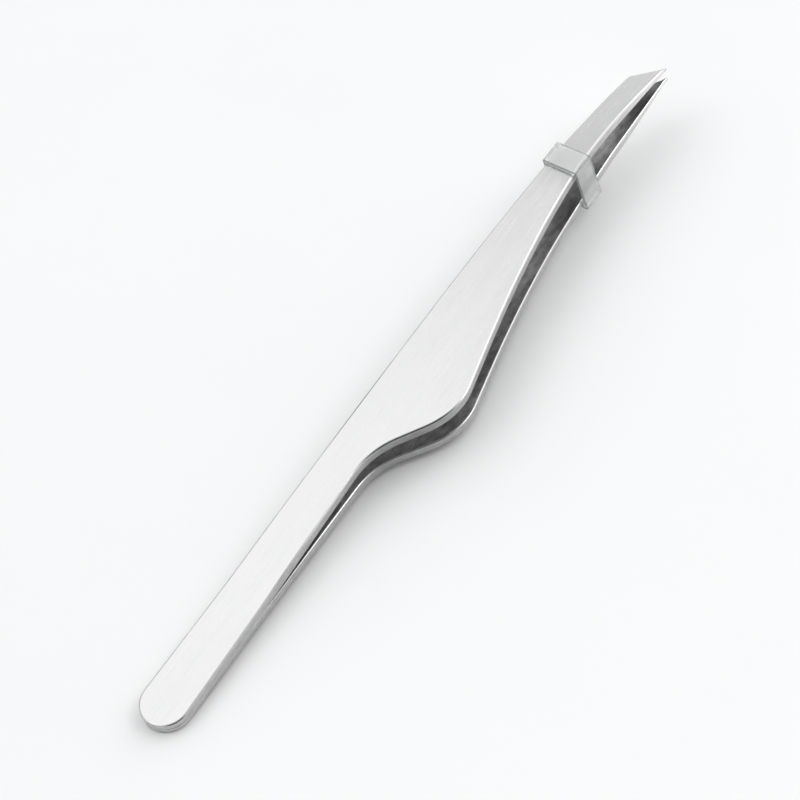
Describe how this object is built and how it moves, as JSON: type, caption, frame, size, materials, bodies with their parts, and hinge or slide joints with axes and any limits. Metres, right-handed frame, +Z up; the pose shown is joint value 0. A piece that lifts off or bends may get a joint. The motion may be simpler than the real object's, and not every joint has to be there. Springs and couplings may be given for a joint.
{
  "type": "slant tweezers",
  "caption": "Slim steel slant tweezers with a finger bulge on one edge, spot welded at the rounded tail, held part-closed by a clear sleeve over the jaws.",
  "frame": {"origin": "under the middle of the object, on the flat surface it rests on", "axes": "+X from the welded tail to the tips, +Z up from the surface it rests on, -Y towards the finger bulge and the point of the slant"},
  "size_m": [0.095, 0.0096, 0.0076],
  "materials": {
    "brushed_steel": "satin, fine lengthwise brushing on the faces, ground edges",
    "weld_steel": "fused",
    "clear_plastic": "clear, glossy"
  },
  "bodies": {
    "tail": {"upper_tail": "brushed_steel", "lower_tail": "brushed_steel", "spot_welds": "weld_steel"},
    "upper_spring": {"upper_spring": "brushed_steel"},
    "upper_arm": {"upper_arm": "brushed_steel"},
    "lower_spring": {"lower_spring": "brushed_steel"},
    "lower_arm": {"lower_arm": "brushed_steel"},
    "sleeve": {"clear_sleeve": "clear_plastic"}
  },
  "joints": [
    {"name": "upper_arm_open", "type": "hinge", "parent": "tail", "child": "upper_spring", "pos_m": [-0.02851, 0.00197, 0.00215], "axis": [0, -1, 0], "range_deg": [0, 2]},
    {"name": "lower_arm_open", "type": "hinge", "parent": "tail", "child": "lower_spring", "pos_m": [-0.02846, 0.00197, 0.00078], "axis": [0, 1, 0], "range_deg": [0, 2]},
    {"name": "sleeve_slide", "type": "slide", "parent": "tail", "child": "sleeve", "axis": [0.9992, 0, 0.0394], "range_m": [0, 0.045]},
    {"name": "upper_arm_squeeze", "type": "hinge", "parent": "upper_spring", "child": "upper_arm", "pos_m": [-0.01555, 0.00197, 0.00328], "axis": [0, 1, 0], "range_deg": [0, 0.51], "stiffness_Nm_per_rad": 1.5},
    {"name": "lower_arm_squeeze", "type": "hinge", "parent": "lower_spring", "child": "lower_arm", "pos_m": [-0.01544, 0.00197, 0.00068], "axis": [0, -1, 0], "range_deg": [0, 0.51], "stiffness_Nm_per_rad": 1.5}
  ],
  "couplings": [
    {"joint": "lower_arm_open", "follows": "upper_arm_open", "ratio": 1},
    {"joint": "sleeve_slide", "follows": "upper_arm_open", "m_per_rad": 1.28},
    {"joint": "lower_arm_squeeze", "follows": "upper_arm_squeeze", "ratio": 1}
  ]
}
